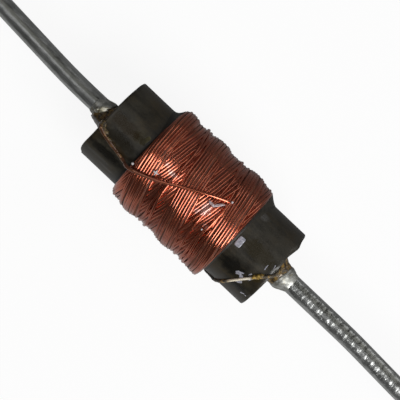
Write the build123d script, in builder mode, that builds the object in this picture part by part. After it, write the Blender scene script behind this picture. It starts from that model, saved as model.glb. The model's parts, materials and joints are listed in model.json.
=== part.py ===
from build123d import *
from math import cos, radians, sin, tan
import os

# An axial-leaded choke: enamelled copper wire cross-wound on a plain ferrite rod, with a
# tinned copper lead bonded into a blind hole at each end of the rod.
# Millimetres. X runs along the rod and Z is up, with the part lying on its winding.
# The origin is on the surface that it lies on, under the middle of the rod.

# Ferrite rod
ROD_DIAMETER = 3.97
ROD_LENGTH = 9.35
ROD_END_CHAMFER = 0.07
HOLE_DIAMETER = 1.10
HOLE_DEPTH = 2.00

# Leads, which lie level with the rod's axis and bend slightly sideways
LEAD_DIAMETER = 0.85
LEAD_LENGTH = 25.4
LEFT_BEND_DISTANCE = 2.39
LEFT_BEND_ANGLE = 3.6
RIGHT_BEND_DISTANCE = 4.40
RIGHT_BEND_ANGLE = -2.5
LEAD_BEND_RADIUS = 30.0
RIGHT_LEAD_OFFSET = 0.08

# Winding: flat bundles of turns, laid over each other at alternate leans
WIRE_DIAMETER = 0.128
BUNDLE_TURNS = 8
BUNDLE_COUNT = 5
WINDING_CENTRE = -0.075
LOWER_RADIUS = 2.370
UPPER_RADIUS = 2.485
TURN_GROOVE = 0.050
UPPER_LEAN = -11.0
LOWER_LEAN = 10.0
BORE_CLEARANCE = 0.005

# Bonding resin and solder at the root of each lead
NECK_LENGTH = 0.37
LEFT_NECK_FLARE_RADIUS = 0.70
LEFT_NECK_FLARE_OFFSET = -0.11
LEFT_NECK_RADIUS = 0.59
LEFT_NECK_OFFSET = -0.08
RIGHT_NECK_FLARE_RADIUS = 0.78
RIGHT_NECK_FLARE_OFFSET = 0.15
RIGHT_NECK_RADIUS = 0.60
RIGHT_FLARE_LENGTH = 0.16
SOLDER_RADIUS = 0.59
SOLDER_COLLAR_LENGTH = 0.30
SOLDER_TAPER_LENGTH = 0.32
SOLDER_STEP = 0.06
LEFT_SOLDER_LENGTH = 0.56
SOLDER_SKIN = 0.02

# Varnish fillets at the winding's ends
LEFT_FILLET_LENGTH = 0.34
LEFT_FILLET_HEIGHT = 0.30
RIGHT_FILLET_LENGTH = 0.46
RIGHT_FILLET_HEIGHT = 0.33
FILLET_KNEE = 0.35

# Wire tails. Each pair is how far along its stretch a point lies, from 0 to 1, and its angle
# round the rod from the top.
TAIL_CLEARANCE = 0.010
TAIL_STEP_ANGLE = 22.0
START_ROUTE = ((0.00, -108), (0.11, -87), (0.24, -65), (0.41, -44), (0.66, -25), (1.00, -7))
FINISH_START_ANGLE = 17.0
FINISH_WINDING_ROUTE = ((0.10, 13), (0.38, 1), (0.68, -12), (1.00, -25))
FINISH_ROD_ROUTE = ((0.00, -28), (0.48, -24), (1.00, -17))
TAIL_WRAP_STEPS = 3
TAIL_WRAP_ANGLE = 130.0
START_WRAP_ANGLE = -25.0
FINISH_WRAP_ANGLE = -40.0

rod_radius = ROD_DIAMETER / 2
lead_radius = LEAD_DIAMETER / 2
rod_end = ROD_LENGTH / 2
hole_bottom = rod_end - HOLE_DEPTH
axis_height = UPPER_RADIUS
winding_width = WIRE_DIAMETER * BUNDLE_TURNS * BUNDLE_COUNT
winding_left = WINDING_CENTRE - winding_width / 2
winding_right = WINDING_CENTRE + winding_width / 2
neck_end = rod_end + NECK_LENGTH
collar_end = neck_end + SOLDER_COLLAR_LENGTH

rod_axis = Axis((0, 0, axis_height), (1, 0, 0))
lengthwise = Plane(origin=(0, 0, axis_height), x_dir=(1, 0, 0), z_dir=(0, -1, 0))
level = Plane(origin=(0, 0, axis_height), x_dir=(1, 0, 0), z_dir=(0, 0, 1))


def crosswise(x, offset=0.0):
    """A plane across the rod at x, centred offset to the side of the rod's axis."""
    return Plane(origin=(x, offset, axis_height), x_dir=(0, 1, 0), z_dir=(1, 0, 0))


def on_round(x, angle, radius, offset=0.0):
    """A point at x along the rod, at an angle from the top round an axis offset to the side."""
    turn = radians(angle)
    return (x, offset + radius * sin(turn), axis_height + radius * cos(turn))


# Ferrite rod
with BuildPart() as ferrite_core:
    with BuildSketch(lengthwise):
        with BuildLine():
            Polyline(
                (-hole_bottom, 0),
                (-hole_bottom, HOLE_DIAMETER / 2),
                (-rod_end, HOLE_DIAMETER / 2),
                (-rod_end, rod_radius - ROD_END_CHAMFER),
                (-rod_end + ROD_END_CHAMFER, rod_radius),
                (rod_end - ROD_END_CHAMFER, rod_radius),
                (rod_end, rod_radius - ROD_END_CHAMFER),
                (rod_end, HOLE_DIAMETER / 2),
                (hole_bottom, HOLE_DIAMETER / 2),
                (hole_bottom, 0),
                close=True,
            )
        make_face()
    revolve(axis=rod_axis)
ferrite_core.part.label = "ferrite_core"


# Leads
def lead(side, bend_distance, bend_angle, offset):
    """One lead, side -1 or 1, from the bottom of its hole to its free end."""
    corner = rod_end + bend_distance
    run = LEAD_LENGTH - bend_distance
    turn = radians(bend_angle)
    with BuildPart() as wire:
        with BuildLine(level) as route:
            FilletPolyline(
                (side * hole_bottom, offset),
                (side * corner, offset),
                (side * (corner + run * cos(turn)), offset + run * sin(turn)),
                radius=LEAD_BEND_RADIUS,
            )
        with BuildSketch(crosswise(side * hole_bottom, offset)):
            Circle(lead_radius)
        sweep(path=route.line)
    return wire.part


lead_left = lead(-1, LEFT_BEND_DISTANCE, LEFT_BEND_ANGLE, 0.0)
lead_left.label = "lead_left"
lead_right = lead(1, RIGHT_BEND_DISTANCE, RIGHT_BEND_ANGLE, RIGHT_LEAD_OFFSET)
lead_right.label = "lead_right"


# Bonding resin, which fills each hole round its lead and stands out of it as a neck
with BuildPart() as lead_resin_left:
    with BuildSketch(crosswise(-rod_end)):
        Circle(HOLE_DIAMETER / 2)
    extrude(amount=HOLE_DEPTH)
    with BuildSketch(crosswise(-rod_end, LEFT_NECK_FLARE_OFFSET)):
        Circle(LEFT_NECK_FLARE_RADIUS)
    with BuildSketch(crosswise(-neck_end, LEFT_NECK_OFFSET)):
        Circle(LEFT_NECK_RADIUS)
    loft()
    add(lead_left, mode=Mode.SUBTRACT)
lead_resin_left.part.label = "lead_resin_left"

with BuildPart() as lead_resin_right:
    with BuildSketch(crosswise(rod_end)):
        Circle(HOLE_DIAMETER / 2)
    extrude(amount=-HOLE_DEPTH)
    with BuildSketch(crosswise(rod_end, RIGHT_NECK_FLARE_OFFSET)):
        Circle(RIGHT_NECK_FLARE_RADIUS)
    with BuildSketch(crosswise(rod_end + RIGHT_FLARE_LENGTH, RIGHT_LEAD_OFFSET)):
        Circle(RIGHT_NECK_RADIUS)
    loft()
    with BuildSketch(crosswise(rod_end + RIGHT_FLARE_LENGTH, RIGHT_LEAD_OFFSET)):
        Circle(RIGHT_NECK_RADIUS)
    extrude(amount=NECK_LENGTH - RIGHT_FLARE_LENGTH)
    add(lead_right, mode=Mode.SUBTRACT)
lead_resin_right.part.label = "lead_resin_right"


# Solder over the neck of each lead
with BuildPart() as solder_joint_left:
    with BuildSketch(crosswise(-neck_end, LEFT_NECK_OFFSET)):
        Circle(LEFT_NECK_RADIUS)
    with BuildSketch(crosswise(-neck_end - LEFT_SOLDER_LENGTH)):
        Circle(lead_radius + SOLDER_SKIN)
    loft()
    add(lead_left, mode=Mode.SUBTRACT)
solder_joint_left.part.label = "solder_joint_left"

with BuildPart() as solder_joint_right:
    with BuildSketch(lengthwise.offset(-RIGHT_LEAD_OFFSET)):
        with BuildLine():
            Polyline(
                (neck_end, lead_radius),
                (neck_end, SOLDER_RADIUS),
                (collar_end, SOLDER_RADIUS),
                (collar_end + SOLDER_TAPER_LENGTH / 3, lead_radius + SOLDER_STEP),
                (collar_end + SOLDER_TAPER_LENGTH, lead_radius),
                close=True,
            )
        make_face()
    revolve(axis=Axis((0, RIGHT_LEAD_OFFSET, axis_height), (1, 0, 0)))
solder_joint_right.part.label = "solder_joint_right"


# Winding
def turn_stack(turns, crest_radius):
    """Turns lying side by side round the rod, as one grooved sleeve centred on x = 0."""
    start = -turns * WIRE_DIAMETER / 2
    groove_radius = crest_radius - TURN_GROOVE
    outline = [(start, rod_radius), (start, groove_radius)]
    for turn in range(turns):
        crest = start + (turn + 0.5) * WIRE_DIAMETER
        outline.append((crest, crest_radius))
        outline.append((crest + WIRE_DIAMETER / 2, groove_radius))
    outline.append((-start, rod_radius))
    with BuildPart() as stack:
        with BuildSketch(lengthwise):
            with BuildLine():
                Polyline(*outline, close=True)
            make_face()
        revolve(axis=rod_axis)
    return stack.part


def leaning(part, lean, x):
    """The sleeve skewed so that each turn leans by an angle while its middle stays on the rod's axis."""
    skew = Matrix([[1, tan(radians(lean)), 0, x], [0, 1, 0, 0], [0, 0, 1, 0]])
    return part.transform_geometry(skew)


bundle_width = WIRE_DIAMETER * BUNDLE_TURNS
upper_centres = [
    winding_left + (bundle + 0.5) * bundle_width for bundle in range(0, BUNDLE_COUNT, 2)
]
block_side = 3 * UPPER_RADIUS
lower_turns = BUNDLE_TURNS * (BUNDLE_COUNT + 1)
upper_blocks = [
    Plane(
        origin=(centre, 0, axis_height),
        x_dir=(cos(radians(UPPER_LEAN)), -sin(radians(UPPER_LEAN)), 0),
        z_dir=(0, 0, 1),
    )
    * Box(bundle_width * cos(radians(UPPER_LEAN)), block_side, block_side)
    for centre in upper_centres
]

with BuildPart() as coil_winding:
    add(leaning(turn_stack(lower_turns, LOWER_RADIUS), LOWER_LEAN, WINDING_CENTRE))
    add(upper_blocks, mode=Mode.SUBTRACT)
    for centre, block in zip(upper_centres, upper_blocks):
        bundle = leaning(turn_stack(BUNDLE_TURNS + 2, UPPER_RADIUS), UPPER_LEAN, centre)
        add(bundle & block)
    with BuildSketch(crosswise(winding_left)):
        Circle(block_side / 2)
    extrude(amount=winding_width, mode=Mode.INTERSECT)
    with BuildSketch(crosswise(winding_left)):
        Circle(rod_radius + BORE_CLEARANCE)
    extrude(amount=winding_width, mode=Mode.SUBTRACT)
coil_winding.part.label = "coil_winding"


# Varnish drawn up into the corner between the winding's ends and the rod
def varnish_fillet(side, face_x, length, height):
    """A ring with a hollow face, side -1 or 1, against the winding's end at face_x."""
    with BuildPart() as ring:
        with BuildSketch(lengthwise):
            with BuildLine():
                Polyline(
                    (face_x, rod_radius),
                    (face_x, rod_radius + height),
                    (face_x + side * length * FILLET_KNEE, rod_radius + height * FILLET_KNEE),
                    (face_x + side * length, rod_radius),
                    close=True,
                )
            make_face()
        revolve(axis=rod_axis)
    return ring.part


coil_varnish_left = varnish_fillet(-1, winding_left, LEFT_FILLET_LENGTH, LEFT_FILLET_HEIGHT)
coil_varnish_left.label = "coil_varnish_left"
coil_varnish_right = varnish_fillet(1, winding_right, RIGHT_FILLET_LENGTH, RIGHT_FILLET_HEIGHT)
coil_varnish_right.label = "coil_varnish_right"


# Wire tails
def tail(points):
    """A length of the winding's wire through the points, with mitred bends."""
    with BuildPart() as wire:
        with BuildLine() as route:
            Polyline(*points)
        with BuildSketch(Plane(origin=route.line @ 0, z_dir=route.line % 0)):
            Circle(WIRE_DIAMETER / 2)
        sweep(path=route.line, transition=Transition.RIGHT)
    return wire.part


def along(route, start_x, end_x, radius):
    """The points of a route that runs from start_x to end_x, clear of a round of this radius."""
    clear_radius = (radius + tail_lift) / cos(radians(TAIL_STEP_ANGLE / 2))
    return [
        on_round(start_x + share * (end_x - start_x), angle, clear_radius)
        for share, angle in route
    ]


def wrap(side, start_angle, radius, offset):
    """Points round the neck of a lead, working outward from the rod's end to the solder."""
    near, far = rod_end + tail_lift, neck_end - tail_lift
    step_angle = TAIL_WRAP_ANGLE / TAIL_WRAP_STEPS
    clear_radius = (radius + tail_lift) / cos(radians(step_angle / 2))
    return [
        on_round(
            side * (near + (far - near) * step / TAIL_WRAP_STEPS),
            start_angle + step_angle * step,
            clear_radius,
            offset,
        )
        for step in range(TAIL_WRAP_STEPS + 1)
    ]


tail_lift = WIRE_DIAMETER / 2 + TAIL_CLEARANCE
start_tail = tail(
    along(START_ROUTE, winding_right + RIGHT_FILLET_LENGTH, rod_end + tail_lift, rod_radius)
    + wrap(1, START_WRAP_ANGLE, RIGHT_NECK_FLARE_RADIUS, RIGHT_NECK_FLARE_OFFSET)
)
start_tail.label = "start_tail"

# The finish tail leaves the winding beside the last upper bundle and crosses the others.
finish_y = LOWER_RADIUS * sin(radians(FINISH_START_ANGLE))
last_bundle_edge = upper_centres[-1] - bundle_width / 2 + finish_y * tan(radians(UPPER_LEAN))
finish_start_x = last_bundle_edge - tail_lift / cos(radians(UPPER_LEAN))
winding_toe = winding_left - LEFT_FILLET_LENGTH
finish_tail = tail(
    [on_round(finish_start_x, FINISH_START_ANGLE, LOWER_RADIUS + tail_lift)]
    + along(FINISH_WINDING_ROUTE, finish_start_x, winding_left - tail_lift, UPPER_RADIUS)
    + along(FINISH_ROD_ROUTE, winding_toe, -rod_end - tail_lift, rod_radius)
    + wrap(-1, FINISH_WRAP_ANGLE, LEFT_NECK_FLARE_RADIUS, LEFT_NECK_FLARE_OFFSET)
)
finish_tail.label = "finish_tail"


os.makedirs("parts", exist_ok=True)
export_step(ferrite_core.part, "parts/ferrite_core.step")
export_step(lead_left, "parts/lead_left.step")
export_step(lead_right, "parts/lead_right.step")
export_step(lead_resin_left.part, "parts/lead_resin_left.step")
export_step(lead_resin_right.part, "parts/lead_resin_right.step")
export_step(solder_joint_left.part, "parts/solder_joint_left.step")
export_step(solder_joint_right.part, "parts/solder_joint_right.step")
export_step(coil_winding.part, "parts/coil_winding.step")
export_step(coil_varnish_left, "parts/coil_varnish_left.step")
export_step(coil_varnish_right, "parts/coil_varnish_right.step")
export_step(start_tail, "parts/start_tail.step")
export_step(finish_tail, "parts/finish_tail.step")
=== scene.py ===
"""The looks of an axial-leaded choke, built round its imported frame.

Lengths are in metres, apart from those in tables' rows, which are in millimetres. X runs along
the ferrite rod, Z is up from the surface that the part lies on, and an angle round the rod is in
degrees from the top towards +Y.
"""

import json
import logging
import math
from dataclasses import asdict, dataclass
from enum import Enum
from typing import Callable, ClassVar, Sequence

import bmesh
import bpy
import numpy as np
from mathutils import Matrix, Vector, noise

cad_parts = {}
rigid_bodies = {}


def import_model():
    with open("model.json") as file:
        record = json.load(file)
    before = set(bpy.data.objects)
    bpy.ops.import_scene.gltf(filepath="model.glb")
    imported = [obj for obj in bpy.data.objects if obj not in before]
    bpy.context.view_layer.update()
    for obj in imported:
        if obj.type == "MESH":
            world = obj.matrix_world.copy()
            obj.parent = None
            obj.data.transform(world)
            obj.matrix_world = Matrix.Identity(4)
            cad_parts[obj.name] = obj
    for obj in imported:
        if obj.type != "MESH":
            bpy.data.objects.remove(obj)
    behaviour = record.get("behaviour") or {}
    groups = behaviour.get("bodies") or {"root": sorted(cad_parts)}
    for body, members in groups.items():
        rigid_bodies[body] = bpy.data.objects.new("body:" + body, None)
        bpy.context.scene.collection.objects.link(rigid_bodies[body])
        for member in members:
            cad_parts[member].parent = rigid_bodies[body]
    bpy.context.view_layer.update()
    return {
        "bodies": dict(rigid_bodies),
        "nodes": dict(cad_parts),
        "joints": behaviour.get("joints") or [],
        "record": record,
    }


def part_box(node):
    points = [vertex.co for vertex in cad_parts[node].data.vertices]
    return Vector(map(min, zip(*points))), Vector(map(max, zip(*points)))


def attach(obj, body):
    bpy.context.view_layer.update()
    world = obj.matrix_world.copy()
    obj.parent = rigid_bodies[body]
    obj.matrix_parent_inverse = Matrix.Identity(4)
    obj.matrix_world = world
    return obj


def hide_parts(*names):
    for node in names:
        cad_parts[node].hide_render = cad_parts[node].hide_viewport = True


MM = 0.001
FULL_TURN = 2 * math.pi
BODY = "root"
WHITE = (1.0, 1.0, 1.0)
# Pale pink of the painted highlights on the winding's varnish layer.
PAINTED_GLEAM = (0.86, 0.56, 0.50)
TINT = "turn_tint"
COVER = "varnish_cover"

Triple = tuple[float, float, float]
Colour = Triple
Faces = list[tuple[int, ...]]
Values = dict[str, object]

log = logging.getLogger("choke")


class Slot(Enum):
    """The record's material slots, which name the finish that a piece stands for."""

    FERRITE = "ferrite"
    COPPER = "enamelled_copper"
    TINNED = "tinned_wire"
    SOLDER = "solder"
    RESIN = "bonding_resin"
    VARNISH = "varnish"


class Tabled:
    """What a table's row describes. lengths are the places of its values that are in mm."""

    lengths: ClassVar[tuple[int, ...]] = ()

    @classmethod
    def table(cls, *rows: tuple) -> tuple:
        """Makes one object of each row of values.

        Args:
            rows: The objects' values, in the order of their fields.

        Returns:
            The objects.
        """
        return tuple(
            cls(*(value * MM if place in cls.lengths else value for place, value in enumerate(row)))
            for row in rows
        )


def math_method(operation: str, swapped: bool = False) -> "Callable[..., Signal]":
    """Makes a method of Signal for one operation.

    Args:
        operation: The Math node's operation.
        swapped: Whether the other value comes first, as in 1 - signal.

    Returns:
        The method.
    """

    def method(self: "Signal", *others: "Signal | float") -> "Signal":
        """Adds a Math node on this signal and the other values."""
        values = (*others, self) if swapped else (self, *others)
        return self.wiring.make("ShaderNodeMath", dict(enumerate(values)), operation=operation)

    return method


class Signal:
    """One output socket, on which Python arithmetic adds Math nodes."""

    __add__ = __radd__ = math_method("ADD")
    __mul__ = __rmul__ = math_method("MULTIPLY")
    __sub__ = math_method("SUBTRACT")
    __rsub__ = math_method("SUBTRACT", swapped=True)
    __truediv__ = math_method("DIVIDE")
    __rtruediv__ = math_method("DIVIDE", swapped=True)
    __pow__ = math_method("POWER")
    __mod__ = math_method("MODULO")
    __abs__ = math_method("ABSOLUTE")
    least = math_method("MINIMUM")
    most = math_method("MAXIMUM")
    sine = math_method("SINE")
    cosine = math_method("COSINE")
    sign = math_method("SIGN")
    angle_to = math_method("ARCTAN2")

    def __init__(self, wiring: "Wiring", socket: bpy.types.NodeSocket) -> None:
        """Wraps a socket of the tree that wiring fills."""
        self.wiring = wiring
        self.socket = socket

    def rise(self, low: float, high: float) -> "Signal":
        """Makes a smooth step.

        Args:
            low: The value where it is 0.
            high: The value where it is 1, which may lie below low.

        Returns:
            The step.
        """
        if low > high:
            return 1.0 - self.rise(high, low)
        inputs = {"Value": self, 1: low, 2: high}
        return self.wiring.make("ShaderNodeMapRange", inputs, interpolation_type="SMOOTHSTEP")

    def other(self, name: str | int) -> "Signal":
        """Another output of the same node."""
        return Signal(self.wiring, self.socket.node.outputs[name])


Level = Signal | float
Feed = Signal | float | int | str | bool | tuple | bpy.types.ID
Inputs = dict[str | int, Feed]


class Wiring:
    """Adds nodes to one node tree."""

    def __init__(self, tree: bpy.types.NodeTree) -> None:
        """Starts on a tree, which may hold nodes already."""
        self.tree = tree

    @classmethod
    def of(cls, owner: bpy.types.Material | bpy.types.World) -> "Wiring":
        """Starts on the emptied tree of a material or of the world.

        Args:
            owner: The material or the world.

        Returns:
            The wiring.
        """
        owner.use_nodes = True
        owner.node_tree.nodes.clear()
        return cls(owner.node_tree)

    def feed(self, socket: bpy.types.NodeSocket, value: Feed) -> None:
        """Links a signal to an input, or sets the input's own value.

        Args:
            socket: The input.
            value: The signal, or the value.
        """
        if isinstance(value, Signal):
            self.tree.links.new(value.socket, socket)
        elif socket.type == "RGBA":
            socket.default_value = (*value, 1.0)
        else:
            socket.default_value = value

    def node(self, kind: str, inputs: Inputs | None = None, **settings: object) -> bpy.types.Node:
        """Adds one node.

        Args:
            kind: The node's type.
            inputs: A value or a signal for each socket, by name or number.
            settings: The node's properties, which are set first.

        Returns:
            The node.
        """
        node = self.tree.nodes.new(kind)
        for name, value in settings.items():
            setattr(node, name, value)
        for key, value in (inputs or {}).items():
            self.feed(node.inputs[key], value)
        return node

    def make(
        self, kind: str, inputs: Inputs | None = None, output: str | int = 0, **settings: object
    ) -> Signal:
        """One output of a new node, by its name or number."""
        return Signal(self, self.node(kind, inputs, **settings).outputs[output])

    def blend(self, share: Level, first: Signal | Colour, second: Signal | Colour) -> Signal:
        """A colour that goes from first to second as share goes from 0 to 1."""
        return self.make("ShaderNodeMix", {0: share, 6: first, 7: second}, 2, data_type="RGBA")

    def vector(self, operation: str, first: Signal | tuple, second: Signal | tuple) -> Signal:
        """Vector Math on two vectors."""
        return self.make("ShaderNodeVectorMath", {0: first, 1: second}, operation=operation)

    def point(self, x: Level, y: Level, z: Level) -> Signal:
        """A vector from its three parts."""
        return self.make("ShaderNodeCombineXYZ", {0: x, 1: y, 2: z})

    def apart(self, vector: Signal) -> tuple[Signal, Signal, Signal]:
        """The three parts of a vector."""
        x = self.make("ShaderNodeSeparateXYZ", {0: vector})
        return x, x.other(1), x.other(2)

    def grain(self, place: Signal, size: float, detail: float = 3.0, roughness: float = 0.5) -> Signal:
        """Noise with features of about this size, from 0 to 1 round 0.5."""
        inputs = {"Vector": place, "Scale": 1.0 / size, "Detail": detail, "Roughness": roughness}
        return self.make("ShaderNodeTexNoise", inputs)


@dataclass(frozen=True)
class Measures:
    """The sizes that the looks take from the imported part."""

    axis_height: float
    rod_radius: float
    rod_end: float
    winding_left: float
    winding_right: float
    winding_radius: float
    left_toe: float
    right_toe: float
    left_neck_end: float
    right_neck_end: float
    left_solder_end: float
    right_solder_end: float
    lead_radius: float

    @classmethod
    def from_frame(cls, frame: dict) -> "Measures":
        """Reads the nodes' boxes and the record's mounts.


        Returns:
            The sizes.
        """
        winding_low, winding_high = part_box("coil_winding")
        core_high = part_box("ferrite_core")[1]
        axis_height = (winding_low.z + winding_high.z) / 2
        return cls(
            axis_height=axis_height,
            rod_radius=core_high.z - axis_height,
            rod_end=core_high.x,
            winding_left=winding_low.x,
            winding_right=winding_high.x,
            winding_radius=(winding_high.z - winding_low.z) / 2,
            left_toe=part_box("coil_varnish_left")[0].x,
            right_toe=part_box("coil_varnish_right")[1].x,
            left_neck_end=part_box("lead_resin_left")[0].x,
            right_neck_end=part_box("lead_resin_right")[1].x,
            left_solder_end=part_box("solder_joint_left")[0].x,
            right_solder_end=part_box("solder_joint_right")[1].x,
            lead_radius=frame["record"]["mounts"][0]["dims"]["r_mm"] * MM,
        )

    @property
    def winding_middle(self) -> float:
        """Where the winding's middle lies along the rod."""
        return (self.winding_left + self.winding_right) / 2

    def on_round(self, x: float, angle: float, radius: float, offset: float = 0.0) -> Vector:
        """A point at x, at an angle and a radius round an axis that is offset to the side."""
        turn = math.radians(angle)
        return Vector((x, offset + radius * math.sin(turn), self.axis_height + radius * math.cos(turn)))


@dataclass(frozen=True)
class StainOrPaintedLight(Tabled):
    """A patch of another finish on a round surface, soft at its edge. It serves for discolouring, for
    painted shade and for painted highlights.
    """

    lengths: ClassVar[tuple[int, ...]] = (0, 2, 3)
    x: float
    angle: float
    length: float
    width: float
    colour: Colour
    strength: float = 1.0

    def cover(self, x: Signal, angle: Signal, ragged: Signal, radius: float) -> Signal:
        """Finds the stain's share at each point of a round surface.

        Args:
            x: Each point's place along the rod.
            angle: Each point's angle round it, in radians from the top.
            ragged: How ragged the edge is there, about 0.
            radius: The surface's radius.

        Returns:
            The share, from 0 to the stain's strength.
        """
        along = (x - self.x) / self.length
        around = (angle - math.radians(self.angle)) * (radius / self.width)
        spread = (along * along + around * around) ** 0.5 + ragged * 1.1
        return spread.rise(1.1, 0.5) * self.strength


class Paint:
    """A material being made: its wiring, the place on the piece, and its Principled shader."""

    def __init__(self, name: str, **constants: Feed) -> None:
        """Starts a material.

        Args:
            name: The material's name.
            constants: The shader's values that are the same all over a piece.
        """
        self.material = bpy.data.materials.new(name)
        self.wiring = Wiring.of(self.material)
        shader = self.wiring.make("ShaderNodeBsdfPrincipled")
        self.wiring.node("ShaderNodeOutputMaterial", {"Surface": shader})
        self.shader = shader.socket.node
        self.place = self.wiring.make("ShaderNodeTexCoord", output="Object")
        self.set(**constants)

    def set(self, **values: Feed) -> None:
        """Sets or links sockets of the shader, named as they are with _ for a space."""
        for name, value in values.items():
            self.wiring.feed(self.shader.inputs[name.replace("_", " ")], value)

    def attribute(self, name: str) -> Signal:
        """A number that the piece's mesh carries."""
        return self.wiring.make("ShaderNodeAttribute", output="Fac", attribute_name=name)

    def grain(
        self, size: float, detail: float = 3.0, roughness: float = 0.5, stretch: Triple | None = None
    ) -> Signal:
        """Adds noise over the piece.

        Args:
            size: About how large its features are.
            detail: How many finer layers it has.
            roughness: How strong those layers are.
            stretch: What scales each axis, so that grain runs along the small ones.

        Returns:
            The noise, from 0 to 1 round 0.5.
        """
        place = self.place
        if stretch is not None:
            place = self.wiring.vector("MULTIPLY", place, stretch)
        return self.wiring.grain(place, size, detail, roughness)

    def bump(self, height: Signal, depth: float) -> None:
        """Raises the surface by up to depth metres where height is 1."""
        inputs = {"Height": height, "Distance": depth, "Strength": 1.0}
        self.set(Normal=self.wiring.make("ShaderNodeBump", inputs))

    def stained_and_lit(
        self, colour: Signal, stains_and_painted_light: Sequence[StainOrPaintedLight], measures: Measures, radius: float, ragged: float
    ) -> tuple[Signal, Level]:
        """Lays patches of discolouring, painted shade and painted highlights over a colour.

        Args:
            colour: The colour under them.
            stains_and_painted_light: The patches, each over those before it.
            measures: The part's sizes.
            radius: The radius of the surface that they lie on.
            ragged: The size of the ragged steps of their edges.

        Returns:
            The colour with the patches, and the sum of their shares.
        """
        x, y, z = self.wiring.apart(self.place)
        angle = y.angle_to(z - measures.axis_height)
        edge = self.grain(ragged) - 0.5
        total: Level = 0.0
        for patch in stains_and_painted_light:
            cover = patch.cover(x, angle, edge, radius)
            colour = self.wiring.blend(cover, colour, patch.colour)
            total = cover + total
        return colour, total


class Finish:
    """A finish, which makes its own material. constants are the same all over a piece."""

    name: str
    constants: ClassVar[dict[str, float]] = {}

    def material(self, measures: Measures) -> bpy.types.Material:
        """Makes the material.

        Args:
            measures: The part's sizes.

        Returns:
            The material.
        """
        paint = Paint(self.name, **self.constants)
        self.vary(paint, measures)
        return paint.material

    def vary(self, paint: Paint, measures: Measures) -> None:
        """Wires what changes over a piece, on the material being made."""
        raise NotImplementedError


@dataclass(frozen=True)
class EnamelledCopper(Finish):
    """Copper wire under amber enamel: each turn a little different, and brown where varnish lies."""

    constants: ClassVar[dict[str, float]] = {"Coat_Roughness": 0.10, "Coat_IOR": 1.52}
    name: str = "copper_enamel"
    bright: Colour = (0.70, 0.185, 0.092)
    dull: Colour = (0.31, 0.074, 0.040)
    varnished: Colour = (0.050, 0.030, 0.011)
    amber: Colour = (0.22, 0.125, 0.038)
    roughness: float = 0.18
    coat: float = 0.75
    metallic: float = 1.0
    patch_size: float = 0.9 * MM
    clot_size: float = 0.16 * MM
    ragged_size: float = 0.12 * MM
    grain_size: float = 0.05 * MM
    grain_depth: float = 0.004 * MM
    # Painted highlights: pale patches where gleams lie on a varnish layer over the wires.
    painted_gleams: tuple[StainOrPaintedLight, ...] = StainOrPaintedLight.table(
        (-1.14, 0, 0.22, 0.13, PAINTED_GLEAM, 0.6),
        (-1.55, 3, 0.14, 0.12, PAINTED_GLEAM, 0.35),
        (0.86, -3, 0.24, 0.34, PAINTED_GLEAM, 0.55),
        (0.62, -10, 0.12, 0.14, PAINTED_GLEAM, 0.4),
        (1.30, -15, 0.16, 0.12, PAINTED_GLEAM, 0.3),
    )

    def vary(self, paint: Paint, measures: Measures) -> None:
        """Wires the turns' tints, the varnish, and pale patches of painted highlight on the winding.

        Args:
            paint: The material being made.
            measures: The part's sizes.
        """
        wiring = paint.wiring
        patches = paint.grain(self.patch_size, 4.0).rise(0.35, 0.7)
        grain = paint.grain(self.grain_size)
        share = (paint.attribute(TINT) * 0.6 + patches * 0.5).least(1.0)
        cover = paint.attribute(COVER)
        clots = paint.grain(self.clot_size).rise(0.52, 0.70)
        bare = wiring.blend(share, self.bright, self.dull)
        colour, gleam_share = paint.stained_and_lit(
            bare, self.painted_gleams, measures, measures.winding_radius, self.ragged_size
        )
        varnish = wiring.blend(clots, self.varnished, self.amber)
        # Painted highlight: the pale patches also make the copper less metallic.
        metallic = gleam_share * -0.7 + self.metallic
        paint.set(
            Base_Color=wiring.blend(cover, colour, varnish),
            Metallic=(cover * (-0.6 * self.metallic) + metallic).most(0.0),
            Roughness=patches * 0.22 + grain * 0.10 + (self.roughness - 0.1),
            Coat_Weight=(patches * -0.35 + cover * 0.5 + self.coat).least(1.0),
        )
        paint.bump(grain, self.grain_depth)


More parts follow.
